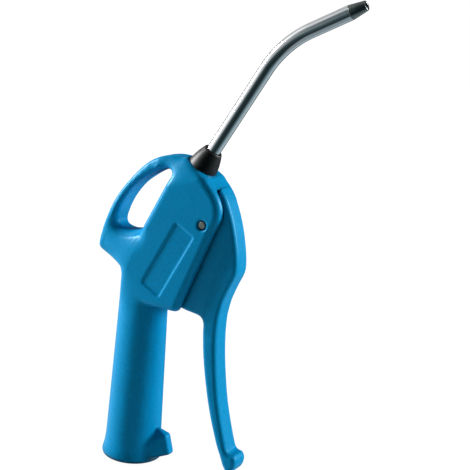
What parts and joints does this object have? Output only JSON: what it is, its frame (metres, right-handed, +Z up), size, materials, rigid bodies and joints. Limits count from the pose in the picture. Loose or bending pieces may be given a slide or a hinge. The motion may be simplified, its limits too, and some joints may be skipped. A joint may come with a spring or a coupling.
{
  "type": "air duster",
  "caption": "Hand-held compressed-air duster with a moulded pistol body, hanging eye, trigger lever, poppet valve and bent metal nozzle tube.",
  "frame": {"origin": "centre of the air inlet's mouth, in the flat base of the handle", "axes": "+Z up the handle's axis, +X from the handle towards the lever, +Y completes a right-handed frame, so the side with the lever to the right is seen along +Y"},
  "size_m": [0.1494, 0.0364, 0.2792],
  "materials": {
    "moulding": "fine moulded grain",
    "pin_steel": "turned",
    "nickel_brass": "nickel plated brass",
    "brass": "turned",
    "seal": "smooth",
    "nut_black": "satin black",
    "tube_chrome": "plated and polished",
    "tip_steel": "turned, dark"
  },
  "bodies": {
    "housing": {"body": "moulding", "inlet_insert": "nickel_brass", "insert_oring": "seal", "pivot_pin": "pin_steel", "valve_cartridge": "brass", "cartridge_oring_front": "seal", "cartridge_oring_rear": "seal", "stem_seal": "seal", "seal_gland": "brass", "valve_spring": "pin_steel", "spring_seat": "brass", "nozzle_adapter": "nickel_brass", "adapter_oring": "seal", "collar_nut": "nut_black"},
    "lever": {"lever": "moulding", "thrust_pin": "pin_steel"},
    "valve": {"valve_stem": "pin_steel", "poppet": "brass", "poppet_seal": "seal", "poppet_nut": "pin_steel"},
    "nozzle": {"nozzle_tube": "tube_chrome", "nozzle_tip": "tip_steel", "ferrule": "brass"}
  },
  "joints": [
    {"name": "lever_pivot", "type": "hinge", "parent": "housing", "child": "lever", "pos_m": [0.04123, 0, 0.15066], "axis": [0, 1, 0], "range_deg": [0, 15], "stiffness_Nm_per_rad": 0.4, "springref_deg": -22.92},
    {"name": "stem_slide", "type": "slide", "parent": "housing", "child": "valve", "axis": [-0.8988, 0, 0.4384], "range_m": [0, 0.00367], "deforming": ["valve_spring"]},
    {"name": "nozzle_swivel", "type": "hinge", "parent": "housing", "child": "nozzle", "pos_m": [0.03223, 0, 0.181], "axis": [0.5, 0, 0.866], "continuous": true}
  ],
  "couplings": [
    {"joint": "stem_slide", "follows": "lever_pivot", "m_per_rad": 0.014}
  ]
}
